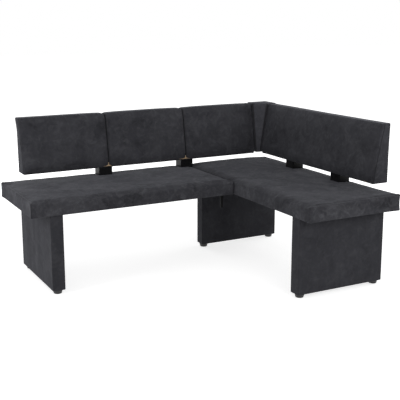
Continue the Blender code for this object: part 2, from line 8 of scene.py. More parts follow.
import bpy
import numpy as np
from mathutils import Matrix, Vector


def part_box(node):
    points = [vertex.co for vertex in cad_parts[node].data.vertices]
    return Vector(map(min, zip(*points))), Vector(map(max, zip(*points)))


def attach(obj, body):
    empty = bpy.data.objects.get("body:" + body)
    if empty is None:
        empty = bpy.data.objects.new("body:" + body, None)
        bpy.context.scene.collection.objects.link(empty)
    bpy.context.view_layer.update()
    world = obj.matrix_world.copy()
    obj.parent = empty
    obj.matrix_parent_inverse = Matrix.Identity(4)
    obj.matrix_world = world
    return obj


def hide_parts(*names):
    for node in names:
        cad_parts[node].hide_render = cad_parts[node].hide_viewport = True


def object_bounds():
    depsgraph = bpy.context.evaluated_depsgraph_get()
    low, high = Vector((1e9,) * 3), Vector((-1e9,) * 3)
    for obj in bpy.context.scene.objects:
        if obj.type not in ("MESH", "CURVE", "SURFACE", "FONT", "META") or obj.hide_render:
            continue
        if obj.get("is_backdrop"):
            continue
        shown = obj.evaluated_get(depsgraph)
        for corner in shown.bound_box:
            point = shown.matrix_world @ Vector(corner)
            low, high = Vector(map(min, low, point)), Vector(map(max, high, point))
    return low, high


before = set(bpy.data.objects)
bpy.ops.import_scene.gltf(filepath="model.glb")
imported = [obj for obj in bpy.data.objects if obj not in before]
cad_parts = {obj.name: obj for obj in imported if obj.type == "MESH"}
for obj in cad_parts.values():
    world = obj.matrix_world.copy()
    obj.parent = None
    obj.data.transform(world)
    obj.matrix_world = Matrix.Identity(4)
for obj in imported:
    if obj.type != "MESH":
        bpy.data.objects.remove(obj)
cad_low, cad_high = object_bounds()
X_LEFT, X_RIGHT = cad_low.x, cad_high.x
Y_BACK = cad_high.y


# Camera
# It stands 1.4 m up, out in front of the bench's free end, looking down a little and turned towards the wing.
# The picture is square, and its middle lies a little to the right of and below the lens's own axis.
EYE = (-1.9126, -3.6575, 1.4065)
TURN, TILT, ROLL = np.radians((27.6455, -12.0491, -0.1029))
FOCAL_SHARE = 2.04554      # focal length as a share of the picture's width
AXIS_AT = (0.48342, 0.45313)

forward = np.array((np.sin(TURN) * np.cos(TILT), np.cos(TURN) * np.cos(TILT), np.sin(TILT)))
level = np.array((np.cos(TURN), -np.sin(TURN), 0.0))
upward = np.cross(level, forward)
sideways = np.cos(ROLL) * level + np.sin(ROLL) * upward
upward = np.cos(ROLL) * upward - np.sin(ROLL) * level

lens = bpy.data.cameras.new("camera")
lens.sensor_width = 36.0
lens.lens = FOCAL_SHARE * lens.sensor_width
lens.shift_x = 0.5 - AXIS_AT[0]
lens.shift_y = AXIS_AT[1] - 0.5
lens.clip_end = 100.0
camera = bpy.data.objects.new("camera", lens)
bpy.context.scene.collection.objects.link(camera)
camera.matrix_world = Matrix((
    (sideways[0], upward[0], -forward[0], EYE[0]),
    (sideways[1], upward[1], -forward[1], EYE[1]),
    (sideways[2], upward[2], -forward[2], EYE[2]),
    (0.0, 0.0, 0.0, 1.0)))
bpy.context.scene.camera = camera
bpy.context.scene.view_settings.view_transform = "Standard"


# Studio: a pale floor, a white surround and soft lamps
# One lamp stands on the left at the bench's free end, two light it from the front, one hangs over the wing,
# and two light the sides that face the walls. Surround and floor look white to the camera and in gloss; the
# floor keeps a shadow.
FLOOR_SIZE = 40.0
FLOOR_COLOUR = 0.80
GLOW_NEAR, GLOW_FAR = 0.72, 1.0
GLOW_FROM, GLOW_TO = 1.2, 3.0
AMBIENT = 0.32


def new_material(name):
    """An empty node material; returns it with its node tree."""
    material = bpy.data.materials.new(name)
    material.use_nodes = True
    material.node_tree.nodes.clear()
    return material, material.node_tree


def add_node(tree, kind, inputs=None, **settings):
    """A shader node with its settings; each input, by name or number, is a socket to link or a value."""
    node = tree.nodes.new("ShaderNode" + kind)
    for name, value in settings.items():
        setattr(node, name, value)
    for title, value in (inputs or {}).items():
        if isinstance(value, bpy.types.NodeSocket):
            tree.links.new(value, node.inputs[title])
        else:
            node.inputs[title].default_value = value
    return node


def add_math(tree, operation, *operands):
    """One Math node; each operand is a socket or a number."""
    return add_node(tree, "Math", dict(enumerate(operands)), operation=operation).outputs[0]


def add_ramp(tree, value, low, high, to_low=0.0, to_high=1.0):
    """Stretches a value from low..high to to_low..to_high, smoothly and held at both ends."""
    inputs = {"Value": value, "From Min": low, "From Max": high, "To Min": to_low, "To Max": to_high}
    return add_node(tree, "MapRange", inputs, interpolation_type="SMOOTHSTEP").outputs[0]


def add_mesh(name, points, faces, material):
    """A smooth mesh object at the origin, from an array of points and one of four-cornered faces.

    A face whose last corner repeats the one before it is a triangle.
    """
    faces = np.asarray(faces)
    corners = np.where(faces[:, 3] == faces[:, 2], 3, 4)
    keep = np.ones(faces.shape, bool)
    keep[:, 3] = corners == 4
    mesh = bpy.data.meshes.new(name)
    mesh.vertices.add(len(points))
    mesh.vertices.foreach_set("co", np.asarray(points, np.float32).ravel())
    mesh.loops.add(int(corners.sum()))
    mesh.loops.foreach_set("vertex_index", faces[keep].astype(np.int32))
    mesh.polygons.add(len(faces))
    starts = np.concatenate(((0,), np.cumsum(corners)[:-1]))
    mesh.polygons.foreach_set("loop_start", starts.astype(np.int32))
    mesh.polygons.foreach_set("use_smooth", np.full(len(faces), True))
    mesh.update(calc_edges=True)
    mesh.materials.append(material)
    piece = bpy.data.objects.new(name, mesh)
    bpy.context.scene.collection.objects.link(piece)
    return piece


def add_lamp(name, place, aim, size, power):
    """A soft rectangular lamp of a size in metres, turned towards what it lights."""
    lamp = bpy.data.lights.new(name, "AREA")
    lamp.shape = "RECTANGLE"
    lamp.size, lamp.size_y = size
    lamp.energy = power
    obj = bpy.data.objects.new(name, lamp)
    bpy.context.scene.collection.objects.link(obj)
    away = np.subtract(place, aim)
    away /= np.linalg.norm(away)
    side = np.cross((0.0, 0.0, 1.0), away)
    side /= np.linalg.norm(side)
    up = np.cross(away, side)
    rows = [(side[k], up[k], away[k], place[k]) for k in range(3)]
    obj.matrix_world = Matrix((*rows, (0.0, 0.0, 0.0, 1.0)))


def seen_or_mirrored(tree):
    """A mask that is 1 for rays from the camera and for mirrored or refracted ones, and 0 for all others."""
    path = add_node(tree, "LightPath").outputs
    either = add_math(tree, "MAXIMUM", path["Is Camera Ray"], path["Is Glossy Ray"])
    return add_math(tree, "MAXIMUM", either, path["Is Transmission Ray"])


world = bpy.data.worlds.new("surround")
bpy.context.scene.world = world
world.use_nodes = True
tree = world.node_tree
tree.nodes.clear()
dim, bright = (add_node(tree, "Background", {"Color": (1.0, 1.0, 1.0, 1.0), "Strength": strength}).outputs[0]
               for strength in (AMBIENT, 1.0))
choose = add_node(tree, "MixShader", {"Fac": seen_or_mirrored(tree), 1: dim, 2: bright})
add_node(tree, "OutputWorld", {"Surface": choose.outputs[0]})

floor_paint, tree = new_material("floor")
place = add_node(tree, "TexCoord").outputs["Object"]
reach = add_node(tree, "VectorMath", {0: place}, operation="LENGTH").outputs["Value"]
spread = add_ramp(tree, reach, GLOW_FROM, GLOW_TO, GLOW_NEAR, GLOW_FAR)
matt = add_node(tree, "BsdfDiffuse", {"Color": (FLOOR_COLOUR, FLOOR_COLOUR, FLOOR_COLOUR, 1.0)})
glow = add_node(tree, "Emission", {"Strength": add_math(tree, "MULTIPLY", spread, seen_or_mirrored(tree))})
both = add_node(tree, "AddShader", {0: matt.outputs[0], 1: glow.outputs[0]})
add_node(tree, "OutputMaterial", {"Surface": both.outputs[0]})

half = FLOOR_SIZE / 2
floor = add_mesh("floor", [(-half, -half, 0.0), (half, -half, 0.0), (half, half, 0.0), (-half, half, 0.0)],
                 [(0, 1, 2, 3)], floor_paint)
floor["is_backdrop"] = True

add_lamp("left", (-2.6, 0.0, 1.3), (-0.5, 0.1, 0.45), (1.0, 1.0), 15.0)
add_lamp("front", (0.2, -4.1, 2.2), (0.0, 0.0, 0.45), (2.6, 1.6), 36.0)
add_lamp("front_right", (2.4, -3.2, 1.8), (0.1, 0.0, 0.45), (1.6, 1.6), 12.0)
add_lamp("over_the_wing", (2.6, -0.4, 2.4), (0.1, 0.0, 0.45), (1.6, 1.6), 12.0)
add_lamp("behind", (-0.6, 4.2, 1.3), (0.0, 0.3, 0.45), (2.6, 1.6), 38.0)
add_lamp("behind_right", (4.4, 1.4, 1.3), (0.4, 0.0, 0.45), (2.0, 1.6), 32.0)


# Microfibre
# The brushed polyester cloth of every padded piece: a dense short nap in anthracite, which lies this way and
# that where hands have stroked it, so that soft paler clouds and wisps show. Sewn and stapled tight.
CLOTH_COLOUR = (0.0395, 0.0395, 0.0462)
CLOTH_DARK = (0.0255, 0.0255, 0.0302)
CLOTH_PALE = (0.0880, 0.0880, 0.0985)
# Painted shade: the colour that the seam attribute mixes in, for the shade inside seams and in the gaps
# beside the wedge.
SEAM_SHADE = (0.0090, 0.0090, 0.0100)
# Clouds, wisps and flecks of paler nap: scale, detail, roughness, distortion, the noise it rises from and to,
# and its share.
PALE_NAP = ((6.0, 3.0, 0.6, 0.6, 0.42, 0.64, 0.24), (19.0, 5.0, 0.66, 1.2, 0.46, 0.70, 0.32),
            (62.0, 3.0, 0.6, 0.0, 0.42, 0.72, 0.18))
NAP_BUMP = (0.35, 0.0006)  # strength and distance
NAP_SHEEN = {"Specular IOR Level": 0.25, "Sheen Weight": 0.08, "Sheen Roughness": 0.45,
             "Sheen Tint": (0.85, 0.88, 1.0, 1.0)}
NAP_ROUGHNESS = (0.95, 0.82)  # where the nap lies dark and where it lies pale


def add_noise(tree, vector, scale, detail, roughness, stretch=None, distortion=0.0):
    """A noise texture, 0 to 1, on a vector that may first be stretched along its axes."""
    if stretch is not None:
        vector = add_node(tree, "Mapping", {"Vector": vector, "Scale": stretch}).outputs[0]
    inputs = {"Vector": vector, "Scale": scale, "Detail": detail, "Roughness": roughness,
              "Distortion": distortion}
    return add_node(tree, "TexNoise", inputs).outputs["Fac"]


def add_mix(tree, share, first, second):
    """A colour mix by a share; each colour is a socket or three numbers."""
    first, second = ((*colour, 1.0) if isinstance(colour, tuple) else colour for colour in (first, second))
    return add_node(tree, "Mix", {"Factor": share, 6: first, 7: second}, data_type="RGBA").outputs[2]


def add_surface(tree, colour, roughness, height, bump, **more):
    """A material's Principled shader with its bump, a strength and a distance, joined to the output."""
    relief = add_node(tree, "Bump", {"Strength": bump[0], "Distance": bump[1], "Height": height})
    shader = add_node(tree, "BsdfPrincipled", {"Base Color": colour, "Roughness": roughness,
                                               "Normal": relief.outputs[0], **more})
    add_node(tree, "OutputMaterial", {"Surface": shader.outputs[0]})


nap_group = bpy.data.node_groups.new("brushed nap", "ShaderNodeTree")
for title, way, kind in (
        ("Vector", "INPUT", "Vector"), ("Streaks", "INPUT", "Float"), ("Pale", "OUTPUT", "Float"),
        ("Dark", "OUTPUT", "Float"), ("Height", "OUTPUT", "Float")):
    nap_group.interface.new_socket(name=title, in_out=way, socket_type="NodeSocket" + kind)
start, end = nap_group.nodes.new("NodeGroupInput"), nap_group.nodes.new("NodeGroupOutput")
place = start.outputs["Vector"]
streaks = add_ramp(nap_group, add_noise(nap_group, place, 26.0, 3.0, 0.6, (1.0, 1.0, 0.12)), 0.45, 0.75)
pale = add_math(nap_group, "MULTIPLY", streaks, start.outputs["Streaks"])
for scale, detail, roughness, distortion, rise_from, rise_to, weight in PALE_NAP:
    spread = add_noise(nap_group, place, scale, detail, roughness, distortion=distortion)
    pale = add_math(nap_group, "MULTIPLY_ADD", add_ramp(nap_group, spread, rise_from, rise_to), weight, pale)
hollows = add_ramp(nap_group, add_noise(nap_group, place, 10.0, 4.0, 0.6, distortion=0.6), 0.48, 0.70)
fibre, tuft = add_noise(nap_group, place, 900.0, 2.0, 0.7), add_noise(nap_group, place, 170.0, 3.0, 0.6)
height = add_math(nap_group, "MULTIPLY_ADD", fibre, 0.5, tuft)
for title, result in (("Pale", pale), ("Dark", hollows), ("Height", height)):
    nap_group.links.new(result, end.inputs[title])


def make_microfibre(name, streaks, stroked=1.0, lift=1.0):
    """The cover cloth, with painted shade mixed into its colour where the piece's own seam attribute says
    that it is folded into a seam.

    stroked is how far its nap has been disturbed, and lift makes it paler all over, for a piece cut with its
    nap running the other way.
    """
    colour, dark, pale = (tuple(c * lift for c in shade) for shade in (CLOTH_COLOUR, CLOTH_DARK, CLOTH_PALE))
    material, tree = new_material(name)
    place = add_node(tree, "TexCoord").outputs["Object"]
    nap = add_node(tree, "Group", node_tree=nap_group)
    tree.links.new(place, nap.inputs["Vector"])
    nap.inputs["Streaks"].default_value = streaks
    for title, shade in (("Dark", dark), ("Pale", pale)):
        colour = add_mix(tree, add_math(tree, "MULTIPLY", nap.outputs[title], stroked), colour, shade)
    # Painted shade: where the seam attribute lies, the colour is mixed towards SEAM_SHADE.
    seam = add_node(tree, "Attribute", attribute_name="seam").outputs["Fac"]
    roughness = add_ramp(tree, nap.outputs["Pale"], 0.0, 1.0, *NAP_ROUGHNESS)
    add_surface(tree, add_mix(tree, seam, colour, SEAM_SHADE), roughness, nap.outputs["Height"], NAP_BUMP,
                **NAP_SHEEN)
    return material


microfibre = make_microfibre("anthracite_microfibre", 0.06)


# Seats
# One firm foam block on a plywood board in each element, under a sewn cap of microfibre: the top rolls softly
# over the edge into the boxing, the upright corners are sewn, and the boxing is drawn under and stapled.
SEAT_DEPTH = 0.540
SEAT_CROWN = 0.0015
SEAT_PULL = 0.0015         # the tight boxing drawn in at half height
SEAT_ROLL = 0.016          # radius of the roll from the top into the boxing
SEAT_WALL_ROLL = 0.008     # the same along the walls
SEAT_CORNER = 0.004        # upright corners, seen from above
SEAT_TUCK = (0.010, 0.050) # the roll's radius at a corner, and how far from it the roll is narrowed
SEAT_UNDER_ROLL = 0.005
SEAT_EAR = 0.045           # how far from a sewn corner it begins to stand out
SEAT_STEP = 0.008
SEAT_SWELL = 0.008         # how far the foam may push the cover out
WALL_HOLD = 0.030          # how near to the walls the cover is held back
SWELL_CELL = 0.006
SWELL_PRESSURE = 4.0
SWELL_FRAMES = 20
CORNER_SEAM = (0.0016, 0.0020)  # half width and depth of an upright corner seam
POST_DENT = (0.0025, 0.009)     # depth and reach of the cover's dip round a post
SEAT_WAVE = 0.0006         # depth of the shallow waves in the face and the boxing
SEAT_RISE_REACH = 0.25
FINE_ROWS = ((0.0030, 0.020), (0.0010, 0.006))  # step of the grid at an edge, and how far it reaches
DUST_SETBACK = (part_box("long_seat_dust_cloth")[0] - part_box("long_seat_cover")[0]).x
DUST_RECESS = 0.0013            # the dust cloth's own thickness and a little room, in the underside


def bell(distance, half_width):
    """1 at no distance, and falling to both sides of it as a bell."""
    return np.exp(-(distance / half_width) ** 2)


def finer_at(places, *rows):
    """What rows_between takes as dense: each (step, reach) of rows at each of the places."""
    return [(place, step, reach) for place in places for step, reach in rows]


def rows_between(low, high, step, *dense):
    """Grid lines from low to high: a running sum of their density, cut at equal steps.

    The density is one line per step, and each dense entry, (place, step there, reach), raises it in a bell
    about its place to one per that step.
    """
    fine = np.linspace(low, high, 6001)
    density = np.full(fine.shape, 1.0 / step)
    for place, dense_step, reach in dense:
        raised = (1.0 / dense_step - 1.0 / step) * bell(fine - place, reach)
        density = np.maximum(density, 1.0 / step + raised)
    running = np.concatenate(((0.0,), np.cumsum((density[1:] + density[:-1]) / 2 * np.diff(fine))))
    count = max(2, int(round(running[-1])))
    return np.interp(np.linspace(0.0, running[-1], count + 1), running, fine)


def grid_faces(index):
    """The four-cornered faces of a grid of point numbers, and its border once round."""
    quads = np.stack((index[:-1, :-1], index[1:, :-1], index[1:, 1:], index[:-1, 1:]), -1).reshape(-1, 4)
    return quads, np.concatenate((index[:-1, 0], index[-1, :-1], index[:0:-1, -1], index[0, :0:-1]))


def bands_between(rings):
    """The faces between each closed ring of point numbers and the next."""
    ahead = np.roll(rings, -1, axis=1)
    return np.stack((rings[:-1], rings[1:], ahead[1:], ahead[:-1]), -1).reshape(-1, 4)


def padded_block(across, along, thick, corner, rolls, under_roll, tuck, wall_shares, roll_rows=7):
    """A closed block with rolled edges, its face up: a face grid, a wall carried round it, and an under grid.

    across and along are the face's grid lines in its own X and Y. The outline is a rectangle with rounded
    corners: a grid point in a corner's square moves along its ray to the same ring of a quarter disc. At
    every point of the outline the wall follows a profile: a quarter turn from the face down into the wall,
    straight down past the given shares of the wall, and a quarter turn under. The first turn's radius is
    given by rolls for the low and the high end in X and the low and the high side in Y. It narrows to tuck[0]
    towards the corners, as a bell of the distance from them with reach tuck[1].
    Returns points (n, 3), their Z from -thick to 0, faces (m, 4), and 0, 1 or 2 for each point's part: face,
    wall or under side.
    """
    low, high = (np.array((across[k], along[k])) for k in (0, -1))
    half, middle = (high - low) / 2, (high + low) / 2
    x, y = np.meshgrid(across - middle[0], along - middle[1], indexing="ij")
    nx, ny = x.shape

    core = half - corner
    qx, qy = np.clip(x, -core[0], core[0]), np.clip(y, -core[1], core[1])
    dx, dy = x - qx, y - qy
    length = np.maximum(np.hypot(dx, dy), 1e-12)
    ring = np.maximum(np.abs(dx), np.abs(dy)) / corner
    out = np.stack((dx / length, dy / length), -1)
    share = np.stack((qx / core[0], qy / core[1]), -1)

    def narrowed(roll, share_along, half_along):
        return roll + (tuck[0] - roll) * bell((1 - np.abs(share_along)) * half_along, tuck[1])

    def insets(share):
        """How far the face's edge lies inside the outline, at the ends in X and at the sides in Y."""
        end_roll, side_roll = (np.where(share[..., k] < 0, rolls[2 * k], rolls[2 * k + 1]) for k in (0, 1))
        return np.stack((narrowed(end_roll, share[..., 1], half[1]),
                         narrowed(side_roll, share[..., 0], half[0])), -1)

    def outline(inset, radius, ring, out, share):
        return share * (half - inset - radius) + np.asarray(ring)[..., None] * radius * out

    least = corner * 0.3
    face_radius = max(corner - tuck[0], least)
    under_radius = max(corner - under_roll, least)
    face = outline(insets(share), face_radius, ring, out, share)
    face = np.concatenate((face, np.zeros((nx, ny, 1))), -1)
    under = outline(under_roll, under_radius, ring, out, share)
    under = np.concatenate((under, np.full((nx, ny, 1), -thick)), -1)

    quads, border = grid_faces(np.arange(nx * ny).reshape(nx, ny))
    out, share = out.reshape(-1, 2)[border], share.reshape(-1, 2)[border]
    inset = insets(share)
    roll = (inset * out ** 2).sum(-1)

    levels = []
    for angle in np.linspace(0.0, np.pi / 2, roll_rows + 1)[1:]:
        left = 1 - np.sin(angle)
        levels.append((left * inset, corner - left * tuck[0], -roll * (1 - np.cos(angle))))
    levels += [(0.0, corner, -roll + part * (roll - thick + under_roll)) for part in wall_shares]
    for angle in np.linspace(0.0, np.pi / 2, 5)[1:-1]:
        in_by = under_roll * (1 - np.cos(angle))
        levels.append((in_by, corner - in_by, np.full(len(border), under_roll * (1 - np.sin(angle)) - thick)))
    wall = np.array([np.column_stack((outline(in_by, max(radius, least), 1.0, out, share), z))
                     for in_by, radius, z in levels])

    points = np.concatenate((face.reshape(-1, 3), wall.reshape(-1, 3), under.reshape(-1, 3)))
    part = np.repeat((0, 1, 2), (nx * ny, wall.shape[0] * wall.shape[1], nx * ny))
    points[:, :2] += middle

    count, first = len(border), nx * ny
    rings = np.array([border] + [first + k * count + np.arange(count) for k in range(len(wall))]
                     + [first + len(wall) * count + border])
    under_quads = quads[:, ::-1] + first + len(wall) * count
    return points, np.concatenate((quads, bands_between(rings), under_quads)), part


def corner_seams(x, y, low, high, half_width):
    """1 along the diagonal of each of a rectangle's four corners, falling to 0 on both sides of it."""
    to_x, to_y = np.minimum(x - low[0], high[0] - x), np.minimum(y - low[1], high[1] - y)
    return bell((to_x - to_y) / np.sqrt(2), half_width) * bell(np.maximum(to_x + to_y, 0), 0.012)


def outside(post, x, y):
    """How far each point lies outside a post, seen from above."""
    low, high = post
    gap_x = np.maximum(np.maximum(low[0] - x, x - high[0]), 0)
    gap_y = np.maximum(np.maximum(low[1] - y, y - high[1]), 0)
    return np.hypot(gap_x, gap_y)


def coordinates(mesh):
    """A mesh's points as an array."""
    flat = np.empty(len(mesh.vertices) * 3, np.float32)
    mesh.vertices.foreach_get("co", flat)
    return flat.reshape(-1, 3).astype(float)


def swollen(points, faces, push, free):
    """A cover pushed out from inside by its foam: points moved to where a simulated copy of it comes to rest.

    The cover starts smaller, by its free share of push. A copy is remeshed in even cells and is cloth under
    pressure, without gravity, for some frames; each of its points goes as far as push at most. Every point of
    the piece then moves towards the nearest place on the copy, by its free share in X, Y and Z, which is 0
    where the cover is stapled down or leans on something.
    """
    reach = np.abs(push).max()
    points = points - free * push
    scene = bpy.context.scene

    def finished(thing):
        """The object with its modifiers applied, at this moment."""
        return thing.evaluated_get(bpy.context.evaluated_depsgraph_get())

    copy = add_mesh("swelling", points, faces, microfibre)
    even = copy.modifiers.new("even", "REMESH")
    even.mode = "VOXEL"
    even.voxel_size = SWELL_CELL
    mesh = bpy.data.meshes.new_from_object(finished(copy))
    copy.modifiers.clear()
    copy.data = mesh
    cloth = copy.modifiers.new("cloth", "CLOTH")
    cloth.settings.use_pressure = True
    cloth.settings.uniform_pressure_force = SWELL_PRESSURE
    cloth.settings.effector_weights.gravity = 0.0
    cloth.collision_settings.use_collision = False
    cloth.point_cache.frame_end = SWELL_FRAMES
    for moment in range(1, SWELL_FRAMES + 1):
        scene.frame_set(moment)
    before = coordinates(mesh)
    way = coordinates(finished(copy).data) - before
    way *= np.minimum(1, reach / np.maximum(np.linalg.norm(way, axis=1), 1e-9))[:, None]
    copy.modifiers.clear()
    mesh.vertices.foreach_set("co", (before + way).astype(np.float32).ravel())
    mesh.update()
    own = add_mesh("swollen", points, faces, microfibre)
    wrap = own.modifiers.new("wrap", "SHRINKWRAP")
    wrap.target = copy
    wrapped = coordinates(finished(own).data)
    for piece in (own, copy):
        bpy.data.objects.remove(piece)
    scene.frame_set(1)
    return points + (wrapped - points) * free


def seat_surface(length, posts, free_end, end_roll, ears, rises, groove_and_shade):
    """One seat between x = 0 and its length and y = -depth and 0, its face at the top of the crown.

    The face drops by the crown towards its edges, as one minus a fourth power of the share of the half side.
    The boxing is drawn in at half height and in shallow upright waves near its hem. The four upright corners
    have a sewn groove, and painted seam shade along it, both by the share given, and the free end's, 0 or 1
    for the low or the high one, stand out by ears, at the front and at the rear. The face dips round each
    post, and it rises by rises[0] towards the free end's rear corner and by rises[1] in the middle of the
    other end.
    Returns points, faces and the seam attribute, which carries the painted seam shade.
    """
    low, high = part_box("long_seat_cover")
    thick = high.z - low.z
    across = rows_between(0.0, length, SEAT_STEP, *finer_at((0.0, length), *FINE_ROWS))
    along = rows_between(-SEAT_DEPTH, 0.0, SEAT_STEP, *finer_at((-SEAT_DEPTH, 0.0), *FINE_ROWS))
    end_rolls = (SEAT_WALL_ROLL, end_roll) if free_end else (end_roll, SEAT_ROLL)
    rolls = (*end_rolls, SEAT_ROLL, SEAT_WALL_ROLL)
    points, faces, part = padded_block(across, along, thick, SEAT_CORNER, rolls, SEAT_UNDER_ROLL, SEAT_TUCK,
                                       np.linspace(0, 1, 9)[1:])
    x, y, z = points.T
    u = np.clip((x - length / 2) / (length / 2), -1, 1)
    v = np.clip((y + SEAT_DEPTH / 2) / (SEAT_DEPTH / 2), -1, 1)
    fade_u, fade_v = 1 - u ** 4, 1 - v ** 4
    above = np.clip(1 + z / (thick / 2), 0, 1)
    drop = SEAT_CROWN * (1 - fade_u * fade_v) * above
    drop += SEAT_WAVE * np.sin(x * 31 + 2 * np.sin(y * 17)) * np.sin(y * 37 + 1.3 * np.sin(x * 13)) * above
    from_free = np.where(free_end, length - x, x)
    drop -= rises[0] * bell(from_free, SEAT_RISE_REACH) * (1 + v) / 2 * above
    drop -= rises[1] * bell(length - from_free, SEAT_RISE_REACH) * (1 - v ** 2) * above
    for post in posts:
        drop += POST_DENT[0] * bell(outside(post, x, y), POST_DENT[1]) * above

    down = np.clip(-z / thick, 0, 1)
    round_y = x * 52 + 1.1 * np.sin(x * 23)
    round_x = y * 52 + 1.1 * np.sin(y * 29)
    pull = SEAT_PULL * np.sin(np.pi * down) * (part == 1)
    wave = SEAT_WAVE * np.sin(np.pi * np.clip(down * 1.5 - 0.5, 0, 1)) * (part == 1)
    near_end = (length / 2) * (1 - np.abs(u)) < (SEAT_DEPTH / 2) * (1 - np.abs(v))
    in_x = np.where(near_end, pull * fade_v + wave * np.sin(round_x) * fade_v, 0) * np.sign(u)
    in_y = np.where(near_end, 0, pull * fade_u + wave * np.sin(round_y) * fade_u) * np.sign(v)

    # The corner seams' mask: it carves their groove and, by the share given, lays painted seam shade along
    # them.
    seam = corner_seams(x, y, (0.0, -SEAT_DEPTH), (length, 0.0), CORNER_SEAM[0]) * (part < 2)
    ear = bell(np.hypot(from_free, SEAT_DEPTH / 2 - np.abs(y + SEAT_DEPTH / 2)), SEAT_EAR)
    ear *= np.where(v < 0, *ears) * (1 - 0.4 * np.sin(np.pi * down))
    shape = np.stack((x - in_x + ear * np.sign(u), y - in_y + ear * np.sign(v) * ((v < 0) | (free_end == 1)),
                      z - drop + high.z + 0.4 * ear * above), -1)
    free = np.stack((0.3 * above, 0.3 * above, above), -1)
    from_wall = np.minimum((1 - v) * SEAT_DEPTH / 2, np.where(free_end, x, 1.0))
    hold = np.clip(from_wall / WALL_HOLD, 0, 1) * np.clip(from_free / (2 * end_roll), 0.4, 1)
    free *= hold[:, None]
    within = np.minimum(length / 2 * (1 - np.abs(u)), SEAT_DEPTH / 2 * (1 - np.abs(v)))
    shape[:, 2] += DUST_RECESS * np.clip((within - DUST_SETBACK) / 0.004 + 1, 0, 1) * (part == 2)
    shape = swollen(shape, faces, np.array((0.0, 0.0, SEAT_SWELL)), free)
    groove = CORNER_SEAM[1] * seam * groove_and_shade
    shape -= np.stack((groove * np.sign(u), groove * np.sign(v), np.zeros_like(groove)), -1)
    return shape, faces, seam * groove_and_shade


def along_wall(points):
    """From a piece's own frame to the long element's: its free end at x = 0, the wall behind it at y = 0."""
    return points + (X_LEFT, Y_BACK, 0.0)


def along_wing(points):
    """From a piece's own frame to the wing's, which starts in the corner and comes forward along the side."""
    return np.stack((X_RIGHT + points[:, 1], Y_BACK - points[:, 0], points[:, 2]), -1)


def settle(piece, slot, *stands_for):
    """A piece in place of the part's own solids, which are hidden; its slot, the name of its cloth or finish,
    is not used.
    """
    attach(piece, "root")
    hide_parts(*stands_for)


def finish_pad(name, points, faces, seam, stands_for, cloth=microfibre):
    """A padded piece in microfibre, with its seam attribute, the weight of its painted seam shade."""
    piece = add_mesh(name, points, faces, cloth)
    mark = piece.data.attributes.new("seam", "FLOAT", "POINT")
    mark.data.foreach_set("value", np.asarray(seam, np.float32))
    settle(piece, "microfibre", *stands_for)


def long_posts():
    """Each long post's low and high corner in X and Y, in the long element's own frame."""
    boxes = [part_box(name) for name in ("long_post_left", "long_post_right")]
    return [((low.x - X_LEFT, low.y - Y_BACK), (high.x - X_LEFT, high.y - Y_BACK)) for low, high in boxes]


def wing_posts():
    """The same for the wing's posts, in the wing's own frame."""
    boxes = [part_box(name) for name in ("wing_post_rear", "wing_post_front")]
    return [((Y_BACK - high.y, low.x - X_RIGHT), (Y_BACK - low.y, high.x - X_RIGHT)) for low, high in boxes]


seat_cloth = make_microfibre("anthracite_microfibre_sat_on", 0.06, stroked=1.6, lift=0.92)
low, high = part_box("long_seat_cover")
points, faces, seam = seat_surface(high.x - low.x, long_posts(), free_end=0, end_roll=0.008,
                                   ears=(0.0028, 0.0028), rises=(0.002, 0.0), groove_and_shade=0.9)
finish_pad("long_seat_padding", along_wall(points), faces, seam, ("long_seat_cover", "long_seat_foam"),
           seat_cloth)
low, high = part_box("wing_seat_cover")
points, faces, seam = seat_surface(high.y - low.y, wing_posts(), free_end=1, end_roll=0.014,
                                   ears=(0.0030, 0.0065), rises=(0.0035, 0.0060), groove_and_shade=0.25)
finish_pad("wing_seat_padding", along_wing(points), faces, seam, ("wing_seat_cover", "wing_seat_foam"),
           seat_cloth)


# Dust cloths
# Thin black non-woven cloth that closes the underside of each seat inside the cover's hem. Its edge is turned
# in and stapled to the board, and between two staples it is drawn in a little.
DUST_THICK = 0.0007
DUST_CELL = 0.0075
STAPLE_STEP = 0.045
STAPLE_DRAW = (0.0012, 0.010)  # how far the edge is drawn in between two staples, and how fast that fades
DUST_COLOURS = ((0.010, 0.010, 0.011), (0.019, 0.019, 0.020))
DUST_PRESSED = (0.006, 0.006, 0.007)


def dust_cloth_surface(low, high):
    """A closed thin sheet: an upper and a lower grid over the node's rectangle, and a strip round their edge.

    The edge is drawn in between two staples by a squared sine of the way along it, which fades inwards, and
    the sheet dips there by a share of that.
    """
    half = np.array((high.x - low.x, high.y - low.y)) / 2
    counts = np.ceil(2 * half / DUST_CELL).astype(int)
    u, v = np.meshgrid(*(np.linspace(-1, 1, count + 1) for count in counts), indexing="ij")
    x, y = u * half[0], v * half[1]
    to_x, to_y = half[0] * (1 - np.abs(u)), half[1] * (1 - np.abs(v))
    drawn_x, drawn_y = (
        STAPLE_DRAW[0] * np.sin(np.pi * way / STAPLE_STEP) ** 2 * np.exp(-to_edge / STAPLE_DRAW[1])
        for way, to_edge in ((y + half[1], to_x), (x + half[0], to_y)))
    z = high.z - 0.15 * (drawn_x + drawn_y)
    x = x - np.sign(u) * drawn_x + (low.x + high.x) / 2
    y = y - np.sign(v) * drawn_y + (low.y + high.y) / 2
    upper = np.stack((x, y, z), -1).reshape(-1, 3)
    lower = upper - (0.0, 0.0, DUST_THICK)
    quads, border = grid_faces(np.arange(x.size).reshape(x.shape))
    strip = bands_between(np.array((border, border + x.size)))
    return np.concatenate((upper, lower)), np.concatenate((quads, quads[:, ::-1] + x.size, strip))


